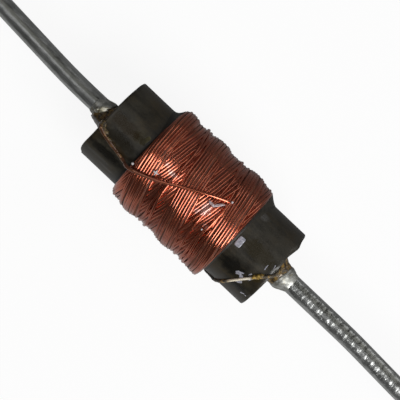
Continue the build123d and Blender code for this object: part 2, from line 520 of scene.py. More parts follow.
@dataclass(frozen=True)
class Ferrite(Finish):
    """Fired ferrite, ground along its length: near black, fine-grained and slightly smeared."""

    constants: ClassVar[dict[str, float]] = {"IOR": 1.55}
    name: str = "ferrite_ground"
    dark: Colour = (0.0100, 0.0084, 0.0048)
    light: Colour = (0.036, 0.0310, 0.0200)
    brown: Colour = (0.037, 0.0255, 0.0085)
    roughness: float = 0.34
    grain_size: float = 0.06 * MM
    grain_depth: float = 0.0020 * MM
    smear_size: float = 0.7 * MM
    streak_size: float = 0.16 * MM
    cloud_size: float = 1.1 * MM
    ragged_size: float = 0.22 * MM
    stains_and_painted_light: tuple[StainOrPaintedLight, ...] = StainOrPaintedLight.table(
        (-2.84, 9, 0.10, 0.22, (0.135, 0.120, 0.052)),
        (-2.92, 3, 0.14, 0.16, (0.060, 0.053, 0.028), 0.8),
        (-3.10, 6, 0.40, 0.36, (0.030, 0.024, 0.009), 0.7),
        (-3.95, 4, 1.00, 0.34, (0.0170, 0.0105, 0.0024), 0.9),
        # Painted shade: darkens the rod's left part a little below the top on the -Y side.
        (-3.75, -13, 1.00, 0.30, (0.0085, 0.0060, 0.0019), 0.85),
        (-3.80, -24, 1.10, 0.16, (0.022, 0.013, 0.004), 0.8),
        # Painted shade: a dark band low on the -Y side of the rod's left part.
        (-3.75, -39, 1.10, 0.24, (0.0035, 0.0028, 0.0016), 0.85),
        # Painted shade: these two rows darken the -Y side of the rod's right part.
        (3.20, -32, 0.70, 0.46, (0.0036, 0.0030, 0.0018), 0.9),
        (4.00, -50, 0.50, 0.24, (0.0040, 0.0032, 0.0018), 0.8),
        # Painted highlight: these two rows are pale streaks along the rod's lower edge, in place of a
        # reflection.
        (-3.95, -52, 0.85, 0.09, (0.050, 0.047, 0.041), 0.7),
        (-3.30, -60, 0.50, 0.08, (0.050, 0.047, 0.041), 0.7),
        (3.75, 28, 0.95, 0.60, (0.0190, 0.0160, 0.0092), 0.6),
        # Painted highlight: a pale grey smudge in place of the softbox's reflection near the right varnish
        # ring.
        (2.80, 41, 0.30, 0.24, (0.066, 0.064, 0.058), 0.85),
        (3.60, 2, 1.00, 0.42, (0.0250, 0.0195, 0.0090), 0.8),
        (4.25, -22, 0.26, 0.26, (0.030, 0.021, 0.005), 0.9),
    )

    def vary(self, paint: Paint, measures: Measures) -> None:
        """Wires the ground grain, and the discolouring, painted shade and painted highlights where they lie
        round the rod.

        Args:
            paint: The material being made.
            measures: The part's sizes.
        """
        wiring = paint.wiring
        grain = paint.grain(self.grain_size, 4.0, 0.6)
        smear = paint.grain(self.smear_size, 4.0)
        streaks = paint.grain(self.streak_size, stretch=(0.12, 1.0, 1.0))
        tone = (grain * 0.5 + smear * 0.6 + streaks * 0.6 - 0.4).rise(0.20, 0.70)
        brown = paint.grain(self.cloud_size, 4.0, 0.6).rise(0.42, 0.66)
        ground = wiring.blend(tone, self.dark, wiring.blend(brown, self.light, self.brown))
        colour, glossy = paint.stained_and_lit(
            ground, self.stains_and_painted_light, measures, measures.rod_radius, self.ragged_size
        )
        rough = smear * 0.24 + streaks * 0.16 + grain * 0.12 + (self.roughness - 0.22)
        paint.set(Base_Color=colour, Roughness=(rough - glossy * 0.12).most(0.15))
        paint.bump(grain + streaks * 0.6, self.grain_depth)


@dataclass(frozen=True)
class TinnedWire(Finish):
    """Tinned copper lead: drawn along its length, dull, with pits and bright scuffs.

    A dark streak of painted shade runs along each lead where its surface faces
    painted_shade_side towards +Y, and painted_shade_step more on the right one. The dents are
    shallower on the left one.
    """

    constants: ClassVar[dict[str, float]] = {"Metallic": 1.0}
    name: str = "tinned_copper"
    pale: Colour = (0.66, 0.67, 0.66)
    dull: Colour = (0.37, 0.38, 0.365)
    # Colour of the painted shade streak.
    painted_shade: Colour = (0.145, 0.145, 0.125)
    pitted: Colour = (0.22, 0.225, 0.215)
    painted_shade_strength: float = 0.85
    painted_shade_side: float = 0.20
    painted_shade_step: float = 0.13
    roughness: float = 0.33
    scratch_size: float = 0.07 * MM
    cloud_size: float = 0.45 * MM
    pit_size: float = 0.06 * MM
    dent_size: float = 0.26 * MM
    dent_depth: float = 0.055 * MM

    def vary(self, paint: Paint, measures: Measures) -> None:
        """Wires the drawn grain, the painted shade streak, the pits and the dents.

        Args:
            paint: The material being made.
            measures: The part's sizes.
        """
        wiring = paint.wiring
        drawn = paint.grain(self.scratch_size, 4.0, stretch=(0.10, 1.0, 1.0))
        cloud = paint.grain(self.cloud_size, 4.0, 0.6, (0.5, 1.0, 1.0))
        pits = paint.grain(self.pit_size, 2.0).rise(0.60, 0.72)
        tone = (drawn * 0.6 + cloud * 0.7 - 0.15).rise(0.2, 0.8)
        # Painted shade: the streak is placed by which way the surface faces, darkest round
        # painted_shade_side towards +Y.
        towards_y = wiring.apart(wiring.make("ShaderNodeTexCoord", output="Normal"))[1]
        on_right = wiring.apart(paint.place)[0].rise(-1 * MM, 1 * MM)
        middle = on_right * self.painted_shade_step + self.painted_shade_side
        painted_shade = abs(towards_y - middle + (cloud - 0.5) * 0.3).rise(0.36, 0.10) * self.painted_shade_strength
        colour = wiring.blend(painted_shade, wiring.blend(tone, self.dull, self.pale), self.painted_shade)
        paint.set(
            Base_Color=wiring.blend(pits * 0.5, colour, self.pitted),
            Roughness=cloud * 0.24 + pits * 0.15 + (self.roughness - 0.12),
        )
        dents = paint.grain(self.dent_size, 2.0, 0.4, (1.0, 0.7, 0.7)) * (on_right * 0.7 + 0.3)
        paint.bump(dents + drawn * 0.12 - pits * 0.04, self.dent_depth)


@dataclass(frozen=True)
class Solder(Finish):
    """Hand-fed solder: bright, frosted in places, with flux in its hollows."""

    constants: ClassVar[dict[str, float]] = {"Metallic": 0.9}
    name: str = "solder_fillet"
    bright: Colour = (0.50, 0.50, 0.47)
    frosted: Colour = (0.35, 0.35, 0.32)
    flux: Colour = (0.22, 0.18, 0.09)
    roughness: float = 0.52
    frost_size: float = 0.22 * MM
    hollow_size: float = 0.30 * MM
    frost_depth: float = 0.020 * MM

    def vary(self, paint: Paint, measures: Measures) -> None:
        """Wires the frost and the flux.

        Args:
            paint: The material being made.
            measures: The part's sizes.
        """
        frost = paint.grain(self.frost_size, 2.0)
        hollows = paint.grain(self.hollow_size).rise(0.56, 0.70)
        metal = paint.wiring.blend(frost.rise(0.35, 0.65), self.bright, self.frosted)
        paint.set(
            Base_Color=paint.wiring.blend(hollows * 0.7, metal, self.flux),
            Roughness=frost * 0.3 + (self.roughness - 0.15),
        )
        paint.bump(frost, self.frost_depth)


@dataclass(frozen=True)
class Resin(Finish):
    """Brown bonding resin or varnish, glossy, with paler amber where it is thin."""

    constants: ClassVar[dict[str, float]] = {"Coat_Roughness": 0.08, "IOR": 1.52}
    name: str
    deep: Colour
    thin: Colour
    roughness: float = 0.22
    coat: float = 0.8
    patch_size: float = 0.30 * MM
    grain_size: float = 0.05 * MM
    depth: float = 0.012 * MM

    def vary(self, paint: Paint, measures: Measures) -> None:
        """Wires the thin patches and the grain.

        Args:
            paint: The material being made.
            measures: The part's sizes.
        """
        patches = paint.grain(self.patch_size, 4.0, 0.6)
        paint.set(
            Base_Color=paint.wiring.blend(patches.rise(0.38, 0.66), self.deep, self.thin),
            Roughness=patches * 0.25 + self.roughness,
            Coat_Weight=(patches * -0.6 + self.coat + 0.2).most(0.0),
        )
        paint.bump(patches + paint.grain(self.grain_size) * 0.25, self.depth)


@dataclass(frozen=True)
class PaintedGlint(Finish):
    """Pale, slightly lilac and smooth marks: painted glints where highlights lie on varnish drops and beads.
    """

    constants: ClassVar[dict[str, float]] = {"Roughness": 0.35}
    name: str = "painted_glint"
    pale: Colour = (0.40, 0.40, 0.45)
    grey: Colour = (0.22, 0.22, 0.26)
    patch_size: float = 0.10 * MM

    def vary(self, paint: Paint, measures: Measures) -> None:
        """Wires the grey patches."""
        patches = paint.grain(self.patch_size).rise(0.35, 0.7)
        paint.set(Base_Color=paint.wiring.blend(patches, self.pale, self.grey))


class Look(Enum):
    """The finishes of the part's pieces."""

    COPPER = EnamelledCopper()
    FERRITE = Ferrite()
    TINNED = TinnedWire()
    SOLDER = Solder()
    NECK = Resin("neck_resin", (0.018, 0.010, 0.003), (0.230, 0.140, 0.036), patch_size=0.15 * MM)
    VARNISH = Resin("coil_varnish", (0.0085, 0.0070, 0.0045), (0.022, 0.0180, 0.0110), 0.38, -0.1)
    CLOTS = Resin("dark_clots", (0.022, 0.014, 0.004), (0.13, 0.082, 0.020), 0.42, 0.0, 0.16 * MM)
    AMBER = Resin("amber_varnish", (0.12, 0.070, 0.012), (0.52, 0.34, 0.07), 0.30, 0.3, 0.16 * MM)
    # Solder drops painted pale: partly real solder and flux, partly painted highlight.
    HIGHLIGHT_SOLDER = Solder("solder_painted_highlight", (1.0, 0.98, 0.86), (0.90, 0.84, 0.62), (0.52, 0.42, 0.20), 0.36)
    FILL = Resin("winding_fill", (0.078, 0.020, 0.008), (0.150, 0.043, 0.016), 0.50, -0.1)
    # Painted highlight: the start wire's bare stretch is pale gold and not metallic, in place of its bright
    # gleam.
    GLEAM_WIRE = EnamelledCopper(
        name="copper_painted_gleam",
        bright=(1.0, 0.91, 0.74),
        dull=(1.0, 0.78, 0.48),
        varnished=(0.030, 0.019, 0.007),
        amber=(0.42, 0.25, 0.05),
        roughness=0.35,
        coat=-0.5,
        metallic=0.0,
        painted_gleams=(),
    )
    # Varnish painted pale lilac: real varnish, with its reflection painted into its colour.
    FILM_SHEEN = Resin("varnish_painted_sheen", (0.34, 0.24, 0.235), (0.62, 0.52, 0.54), 0.3, 0.5, 0.14 * MM)
    # Painted glints: pale marks where highlights lie.
    GLINT = PaintedGlint()
    SPECK_GLINT = PaintedGlint("painted_speck_glint", (0.74, 0.70, 0.70), (0.48, 0.45, 0.46))


Looks = dict[Look, bpy.types.Material]


def coat(piece: bpy.types.Object, material: bpy.types.Material) -> None:
    """Gives a piece one material, and reports it.

    Args:
        piece: A mesh object.
        material: Its finish.
    """
    piece.data.materials.clear()
    piece.data.materials.append(material)
    log.info("%s: %d faces", piece.name, len(piece.data.polygons))


def dress(piece: bpy.types.Object, slot: Slot, material: bpy.types.Material, *nodes: str) -> None:
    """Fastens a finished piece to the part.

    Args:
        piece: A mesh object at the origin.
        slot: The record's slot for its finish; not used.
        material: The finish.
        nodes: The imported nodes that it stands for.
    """
    coat(piece, material)
    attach(piece, BODY)
    if nodes:
        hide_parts(*nodes)


def link(name: str, data: bpy.types.ID) -> bpy.types.Object:
    """Adds an object to the scene.

    Args:
        name: Its name.
        data: Its data.

    Returns:
        The object.
    """
    holder = bpy.data.objects.new(name, data)
    bpy.context.scene.collection.objects.link(holder)
    return holder


def mesh_object(name: str, points: Sequence[Vector], faces: Sequence[Sequence[int]]) -> bpy.types.Object:
    """Makes a smooth-shaded mesh object.

    Args:
        name: Its name.
        points: Its points.
        faces: The numbers of each face's points.

    Returns:
        The linked object.
    """
    mesh = bpy.data.meshes.new(name)
    mesh.from_pydata([tuple(point) for point in points], [], faces)
    mesh.update()
    mesh.shade_smooth()
    return link(name, mesh)


def strip(near: int, far: int, count: int) -> Faces:
    """The four-cornered faces between two rings of count points, which start at near and far."""
    pairs = [(step, (step + 1) % count) for step in range(count)]
    return [(near + step, far + step, far + ahead, near + ahead) for step, ahead in pairs]


def fan(base: int, count: int, pole: int, turned: bool = False) -> Faces:
    """The triangles from a ring of count points at base to a pole, turned over if asked."""
    corners = [(base + step, base + (step + 1) % count, pole) for step in range(count)]
    return [triangle[::-1] for triangle in corners] if turned else corners


def face_outwards(piece: bpy.types.Object) -> bpy.types.Object:
    """Turns every face of a closed mesh outwards.

    Args:
        piece: The mesh's object.

    Returns:
        The same object.
    """
    mesh = bmesh.new()
    mesh.from_mesh(piece.data)
    bmesh.ops.remove_doubles(mesh, verts=mesh.verts, dist=1e-8)
    bmesh.ops.recalc_face_normals(mesh, faces=mesh.faces)
    mesh.to_mesh(piece.data)
    mesh.free()
    return piece


def join_pieces(name: str, pieces: Sequence[bpy.types.Object]) -> bpy.types.Object:
    """Joins mesh objects at the origin into one, and removes them.

    Args:
        name: The new object's name.
        pieces: The objects.

    Returns:
        The linked object.
    """
    points: list[Vector] = []
    faces: Faces = []
    for piece in pieces:
        base = len(points)
        points.extend(vertex.co.copy() for vertex in piece.data.vertices)
        faces.extend(tuple(base + corner for corner in face.vertices) for face in piece.data.polygons)
        mesh = piece.data
        bpy.data.objects.remove(piece)
        bpy.data.meshes.remove(mesh)
    return mesh_object(name, points, faces)


def merge_tinted(name: str, pieces: Sequence[bpy.types.Object]) -> bpy.types.Object:
    """Joins wire meshes into one that keeps each turn's tint.

    Args:
        name: The new object's name.
        pieces: The wires.

    Returns:
        The linked object.
    """
    tints: list[np.ndarray] = []
    for piece in pieces:
        values = np.zeros(len(piece.data.vertices), np.float32)
        piece.data.attributes[TINT].data.foreach_get("value", values)
        tints.append(values)
    piece = join_pieces(name, pieces)
    layer = piece.data.attributes.new(TINT, "FLOAT", "POINT")
    layer.data.foreach_set("value", np.concatenate(tints))
    return piece


@dataclass(frozen=True)
class Station:
    """One ring of a turned piece: its place along the rod, radius, and sideways offset."""

    x: float
    radius: float
    offset: float = 0.0

    @classmethod
    def past(cls, anchor: float, *rows: Triple) -> "list[Station]":
        """Makes stations of rows in mm, whose places are counted from an anchor."""
        return [cls(anchor + x * MM, radius * MM, offset * MM) for x, radius, offset in rows]

    def towards(self, end: "Station", share: float) -> "Station":
        """The station at a share of the way to another."""
        pairs = ((self.x, end.x), (self.radius, end.radius), (self.offset, end.offset))
        return Station(*(low + (high - low) * share for low, high in pairs))


Relief = Callable[[Vector, float, float], float]


@dataclass
class Turned:
    """A closed piece turned round the rod's axis, with a surface that may be uneven.

    relief and shift take a point, its angle in radians and its radius. They return how far the
    point moves outwards and along the rod.
    """

    name: str
    stations: Sequence[Station]
    measures: Measures
    relief: Relief | None = None
    shift: Relief | None = None
    spacing: float = 0.06 * MM
    segments: int = 96
    sharp_angle: float = math.radians(35)

    def _rings(self) -> list[Station]:
        """Adds stations between those that are far apart.

        Returns:
            The rings, from the first station to the last.
        """
        rings = [self.stations[0]]
        for start, end in zip(self.stations, self.stations[1:]):
            gap = math.hypot(end.x - start.x, end.radius - start.radius)
            count = max(1, round(gap / self.spacing))
            rings.extend(start.towards(end, step / count) for step in range(1, count + 1))
        return rings

    def build(self) -> bpy.types.Object:
        """Makes the piece. Its first and last stations close on a pole each.

        Returns:
            The linked object.
        """
        rings, count, place = self._rings(), self.segments, self.measures.on_round
        points: list[Vector] = []
        for ring in rings:
            for step in range(count):
                angle = 360 * step / count
                turn = math.radians(angle)
                point = place(ring.x, angle, ring.radius, ring.offset)
                if self.relief is not None:
                    radius = ring.radius + self.relief(point, turn, ring.radius)
                    point = place(ring.x, angle, radius, ring.offset)
                if self.shift is not None:
                    point.x += self.shift(point, turn, ring.radius)
                points.append(point)
        last = len(points) - count
        faces = [face for near in range(0, last, count) for face in strip(near, near + count, count)]
        for ring, base in ((rings[0], 0), (rings[-1], last)):
            faces += fan(base, count, len(points), turned=base == last)
            points.append(place(ring.x, 0, 0, ring.offset))
        piece = mesh_object(self.name, points, faces)
        piece.data.set_sharp_from_angle(angle=self.sharp_angle)
        return face_outwards(piece)


@dataclass(frozen=True)
class Blob(Tabled):
    """A low drop or flake stuck to a round surface, which may slope and lie over it."""

    lengths: ClassVar[tuple[int, ...]] = (0, 2, 3, 4, 8)
    x: float
    angle: float
    length: float
    width: float
    height: float
    turn: float = 0.0
    squareness: float = 2.0
    ragged: float = 0.15
    lift: float = 0.0
    slope: float = 0.0
    sink: float = 0.03 * MM
    rings: int = 9
    spokes: int = 28

    def _corner(self, share: float, around: float) -> Triple:
        """Finds a point of the drop before it is turned and laid down.

        Args:
            share: How far out it is, from 0 to 1.
            around: Its direction, in radians.

        Returns:
            Its place along and across the drop, and its height over the surface.
        """
        cosine, sine = math.cos(around), math.sin(around)
        power = self.squareness
        reach = (abs(cosine) ** power + abs(sine) ** power) ** (-1 / power)
        seed = Vector((cosine, sine, self.x / MM + self.angle))
        reach *= 1 + self.ragged * noise.noise(seed * 1.7)
        crown = (1 - share**4) * self.height - share**10 * self.sink
        return share * reach * cosine * self.length / 2, share * reach * sine * self.width / 2, crown

    def build(self, measures: Measures, radius: float, offset: float) -> bpy.types.Object:
        """Makes the drop as a closed mesh.

        Args:
            measures: The part's sizes.
            radius: The radius of the surface that it sticks to.
            offset: How far that surface's axis lies to the side.

        Returns:
            The linked object.
        """
        count = self.spokes
        corners = [
            self._corner(ring / self.rings, FULL_TURN * spoke / count)
            for ring in range(1, self.rings + 1)
            for spoke in range(count)
        ]
        corners += [(0, 0, self.height), (0, 0, -self.sink * 2)]
        turn = math.radians(self.turn)
        points: list[Vector] = []
        for along, across, height in corners:
            x = along * math.cos(turn) - across * math.sin(turn)
            arc = along * math.sin(turn) + across * math.cos(turn)
            angle = self.angle + math.degrees(arc / radius)
            reach = radius + self.lift + self.slope * x + height
            points.append(measures.on_round(self.x + x, angle, reach, offset))
        top, last = self.rings * count, (self.rings - 1) * count
        faces = fan(0, count, top) + fan(last, count, top + 1, turned=True)
        for near in range(0, last, count):
            faces += strip(near, near + count, count)
        return face_outwards(mesh_object("drop", points, faces))


SOCKETS = {int: "NodeSocketInt", float: "NodeSocketFloat", bpy.types.Material: "NodeSocketMaterial"}


class GeometryRecipe:
    """A Geometry Nodes tree with named inputs, which turns an object into a plain mesh."""

    def __init__(self, name: str, values: Values) -> None:
        """Starts a tree.

        Args:
            name: The tree's name.
            values: Values such as its inputs take, by the inputs' names.
        """
        self.tree = bpy.data.node_groups.new(name, "GeometryNodeTree")
        face = self.tree.interface
        face.new_socket("Geometry", in_out="INPUT", socket_type="NodeSocketGeometry")
        self.identifiers = {
            label: face.new_socket(label, in_out="INPUT", socket_type=SOCKETS[type(value)]).identifier
            for label, value in values.items()
        }
        face.new_socket("Geometry", in_out="OUTPUT", socket_type="NodeSocketGeometry")
        self.wiring = Wiring(self.tree)
        self.entry = self.wiring.make("NodeGroupInput")

    def input(self, name: str) -> Signal:
        """One of the tree's inputs."""
        return self.entry.other(name)

    def store(self, geometry: Signal, name: str, value: Signal) -> Signal:
        """Keeps a number at each point.

        Args:
            geometry: The curves.
            name: The number's name on the mesh.
            value: The number.

        Returns:
            The geometry with it.
        """
        inputs = {0: geometry, "Name": name, "Value": value}
        return self.wiring.make(
            "GeometryNodeStoreNamedAttribute", inputs, data_type="FLOAT", domain="POINT"
        )

    def sweep(self, route: Signal, scale: Level = 1.0) -> None:
        """Ends the tree with a round wire along a route.

        Args:
            route: The curves to follow. The tree has inputs wire_radius, sides and material.
            scale: How many times its own radius the wire has at a place.
        """
        make = self.wiring.make
        size = {"Resolution": self.input("sides"), "Radius": self.input("wire_radius")}
        profile = make("GeometryNodeCurvePrimitiveCircle", size)
        inputs = {0: route, 1: profile, "Scale": scale, "Fill Caps": True}
        smooth = make("GeometryNodeSetShadeSmooth", {0: make("GeometryNodeCurveToMesh", inputs)})
        solid = make("GeometryNodeRealizeInstances", {0: smooth})
        painted = make("GeometryNodeSetMaterial", {0: solid, "Material": self.input("material")})
        self.wiring.node("NodeGroupOutput", {0: painted})

    def apply(self, name: str, source: bpy.types.Object, values: Values) -> bpy.types.Object:
        """Runs the tree on an object, which the result replaces.

        Args:
            name: The result's name.
            source: The object that enters the tree.
            values: A value for each named input.

        Returns:
            The linked mesh object.
        """
        modifier = source.modifiers.new(self.tree.name, "NODES")
        modifier.node_group = self.tree
        for label, value in values.items():
            modifier[self.identifiers[label]] = value
        bpy.context.view_layer.update()
        evaluated = source.evaluated_get(bpy.context.evaluated_depsgraph_get())
        mesh = bpy.data.meshes.new_from_object(evaluated)
        mesh.name = name
        source.modifiers.remove(modifier)
        data = source.data
        bpy.data.objects.remove(source)
        (bpy.data.curves if isinstance(data, bpy.types.Curve) else bpy.data.meshes).remove(data)
        return link(name, mesh)


@dataclass(frozen=True)
class Band(Tabled):
    """Where a band of turns crosses the top of the winding, and how it leans and curls."""

    lengths: ClassVar[tuple[int, ...]] = (0, 1, 2)
    centre: float
    lean: float
    curl: float


@dataclass(frozen=True)
class TurnGroup:
    """Turns that lie side by side and lean together.

    lean is how far a turn's far side (+Y) lies to the right of its top, and curl how far both
    sides lie to the right of it. crown is how much lower the outer turns are than the middle one.
    """

    turns: int
    centre: float
    radius: float
    lean: float
    curl: float
    wander: float
    seed: int
    crown: float = 0.0
    scatter: float = 0.0
    lean_spread: float = 0.10


@dataclass
class CrossWinding:
    """The winding: full rows of turns that lean one way, under bands that lean the other way."""

    measures: Measures
    wire_radius: float = 0.070 * MM
    pitch: float = 0.128 * MM
    band_turns: int = 8
    bands: tuple[Band, ...] = Band.table(
        (-2.13, -0.39, 0.20), (-0.15, -0.50, 0.14), (1.88, -0.36, -0.04)
    )
    band_crown: float = 0.075 * MM
    row_lean: float = 0.42 * MM
    row_curl: float = -0.10 * MM
    row_drop: float = 0.115 * MM
    left_shoulder: float = 0.26 * MM
    right_shoulder: float = 0.10 * MM
    fill_depth: float = 0.029 * MM
    fill_reach: float = 0.95
    fill_steps: int = 24
    heart_inset: float = 0.10 * MM
    heart_gap: float = 0.002 * MM
    strays: int = 9
    stray_drop: float = 0.045 * MM
    segments: int = 112
    sides: int = 8

    @property
    def face(self) -> float:
        """How far the outermost wire's middle may lie from the winding's middle."""
        return (self.measures.winding_right - self.measures.winding_left) / 2 - self.wire_radius

    def _groups(self) -> dict[str, list[TurnGroup]]:
        """Lists the groups of turns.

        Returns:
            The groups, by the name of the piece that they make.
        """
        face, middle = self.face, self.measures.winding_middle
        top = self.measures.winding_radius - self.wire_radius
        rows = TurnGroup(
            turns=round((2 * face + 2 * self.row_lean) / self.pitch),
            centre=middle,
            radius=top - self.row_drop,
            lean=self.row_lean,
            curl=self.row_curl,
            wander=0.06 * MM,
            seed=3,
        )
        bands = [
            TurnGroup(
                turns=self.band_turns,
                radius=top,
                wander=0.07 * MM,
                seed=11 + 7 * number,
                crown=self.band_crown,
                **asdict(band),
            )
            for number, band in enumerate(self.bands)
        ]
        strays = TurnGroup(
            turns=self.strays,
            centre=middle,
            radius=top - self.stray_drop,
            lean=0.10 * MM,
            curl=0.0,
            wander=0.22 * MM,
            seed=71,
            scatter=face * 0.9,
            lean_spread=5.0,
        )
        return {"winding_rows": [rows], "winding_bands": [*bands, strays]}

    def _inputs(self, group: TurnGroup, finish: bpy.types.Material) -> Values:
        """The tree's inputs for a group.

        Args:
            group: The turns.
            finish: Their material.

        Returns:
            A value for each input.
        """
        own = ("segments", "sides", "pitch", "face", "left_shoulder", "right_shoulder", "wire_radius")
        return {
            **asdict(group),
            **{name: getattr(self, name) for name in own},
            "middle": self.measures.winding_middle,
            "floor": self.measures.rod_radius + self.wire_radius,
            "axis_height": self.measures.axis_height,
            "material": finish,
        }

    @staticmethod
    def _recipe(values: Values) -> GeometryRecipe:
        """Makes the tree that lays a group of turns on the winding's rounded outline.

        Args:
            values: The inputs of any group.

        Returns:
            The tree.
        """
        recipe = GeometryRecipe("lay_turns", values)
        wiring, make, read = recipe.wiring, recipe.wiring.make, recipe.input
        ring = make("GeometryNodeCurvePrimitiveCircle", {"Resolution": read("segments"), "Radius": 1.0})
        turns = make("GeometryNodeDuplicateElements", {0: ring, "Amount": read("turns")}, domain="SPLINE")
        turn = turns.other("Duplicate Index")

        def chance(salt: int) -> Signal:
            """A number from -1 to 1 for each turn."""
            inputs = {2: -1.0, 3: 1.0, "ID": turn, "Seed": read("seed") + salt}
            return make("FunctionNodeRandomValue", inputs, 1, data_type="FLOAT")

        angle = (make("GeometryNodeInputIndex") % read("segments")) * (FULL_TURN / read("segments"))
        sine, cosine = angle.sine(), angle.cosine()
        half = ((read("turns") - 1.0) * 0.5).most(1.0)
        across = (turn - half) / half
        shared = wiring.point(cosine * 0.9, sine * 0.9, turn * 0.10 + read("seed"))
        lone = wiring.point(cosine * 2.0, sine * 2.0, turn * 5.3 + read("seed"))
        sway = wiring.grain(shared, 1.0, 1.0) - 0.5
        wobble = wiring.grain(lone, 1.0, 1.0) - 0.5
        lateral = (
            read("centre")
            + (turn - half) * read("pitch")
            + chance(5) * read("scatter")
            + sine * read("lean") * (chance(1) * read("lean_spread") + 1.0)
            + sine * sine * read("curl")
            + (sway * 2.4 + wobble * 0.5 + chance(2) * 0.10) * read("wander")
        )
        out = lateral - read("middle")
        reach = abs(out)
        is_right = out.sign() * 0.5 + 0.5
        shoulder = read("left_shoulder") + (read("right_shoulder") - read("left_shoulder")) * is_right
        flat = read("face") - shoulder
        over = (reach - flat).most(0.0)
        bend = (over / shoulder).least(math.pi / 2)
        down = (over - shoulder * (math.pi / 2)).most(0.0)
        x = read("middle") + out.sign() * (reach.least(flat) + shoulder * bend.sine())
        lift = (wobble * 0.35 + chance(3) * 0.10) * read("wander")
        radius = read("radius") - across * across * read("crown") + lift
        radius = (radius - shoulder * (1.0 - bend.cosine()) - down).most(read("floor"))
        place = wiring.point(x, radius * sine, radius * cosine + read("axis_height"))
        laid = make("GeometryNodeSetPosition", {0: turns, "Position": place})
        recipe.sweep(recipe.store(laid, TINT, chance(4) * 0.5 + 0.5))
        return recipe

    def _on_outline(self, group: TurnGroup, share: float, depth: float, step: int) -> Vector:
        """Finds a point of a band's varnish, which leans and bends as the band's turns do.

        Args:
            group: The band.
            share: How far across the band it is, from -1 to 1.
            depth: How far it is over the wires' middles.
            step: Which segment of a turn it is at.

        Returns:
            The point.
        """
        middle = self.measures.winding_middle
        half = (group.turns - 1) / 2 * self.pitch
        sine = math.sin(FULL_TURN * step / self.segments)
        out = group.centre + share * half + sine * group.lean + sine * sine * group.curl - middle
        shoulder = self.right_shoulder if out > 0 else self.left_shoulder
        over = max(0.0, abs(out) - (self.face - shoulder))
        bend = min(over / shoulder, math.pi / 2)
        down = max(0.0, over - shoulder * math.pi / 2)
        reach = min(abs(out), self.face - shoulder) + (shoulder + depth) * math.sin(bend)
        radius = group.radius - share * share * group.crown - shoulder - down
        radius = max(radius + (shoulder + depth) * math.cos(bend), self.measures.rod_radius)
        return self.measures.on_round(middle + math.copysign(reach, out), 360 * step / self.segments, radius)

    def _band_fill(self, group: TurnGroup) -> bpy.types.Object:
        """Makes the varnish between a band's turns, as a closed ring.

        Args:
            group: The band.

        Returns:
            The linked object.
        """
        steps = self.fill_steps
        shares = [self.fill_reach * (2 * step / steps - 1) for step in range(steps + 1)]
        top, bottom = self.wire_radius - self.fill_depth, -self.wire_radius / 2
        outline = [(share, top) for share in shares] + [(share, bottom) for share in reversed(shares)]
        points = [
            self._on_outline(group, share, depth, step)
            for step in range(self.segments)
            for share, depth in outline
        ]
        size, count = len(outline), len(points)
        faces = [face for near in range(0, count, size) for face in strip(near, (near + size) % count, size)]
        return face_outwards(mesh_object("band_fill", points, faces))

    def _heart(self) -> bpy.types.Object:
        """Makes the inner turns and the varnish between the outer ones, as one closed sleeve.

        Returns:
            The linked object.
        """
        measures = self.measures
        radius = measures.winding_radius - self.row_drop - self.fill_depth
        inner = measures.rod_radius + self.heart_gap
        left = measures.winding_left + self.heart_inset
        right = measures.winding_right - self.heart_inset
        stations = (
            Station(left, inner),
            Station(left, radius - self.left_shoulder),
            Station(left + self.left_shoulder, radius),
            Station(right - self.right_shoulder, radius),
            Station(right, radius - self.right_shoulder),
            Station(right, inner),
        )
        return Turned("inner_turns", stations, measures).build()

    def build(self, looks: Looks) -> None:
        """Makes the winding's pieces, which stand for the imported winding.

        Args:
            looks: The part's materials.
        """
        copper = looks[Look.COPPER]
        groups = self._groups()
        recipe = self._recipe(self._inputs(groups["winding_rows"][0], copper))
        for name, members in groups.items():
            pieces = [
                recipe.apply("turns", mesh_object("seedling", [Vector()], []), self._inputs(group, copper))
                for group in members
            ]
            dress(merge_tinted(name, pieces), Slot.COPPER, copper, "coil_winding")
        fills = [self._band_fill(group) for group in groups["winding_bands"][: len(self.bands)]]
        dress(join_pieces("winding_heart", [self._heart(), *fills]), Slot.COPPER, looks[Look.FILL])


class Lies(Enum):
    """What a stretch of loose wire lies on."""

    WINDING = "winding"
    ROD = "rod"
    LEFT_NECK = "left neck"
    RIGHT_NECK = "right neck"


@dataclass(frozen=True)
class Waypoint(Tabled):
    """A point that a wire passes: along the rod, round it in degrees, and what it lies on."""

    lengths: ClassVar[tuple[int, ...]] = (0, 3)
    x: float
    angle: float
    lies: Lies
    lift: float = 0.0


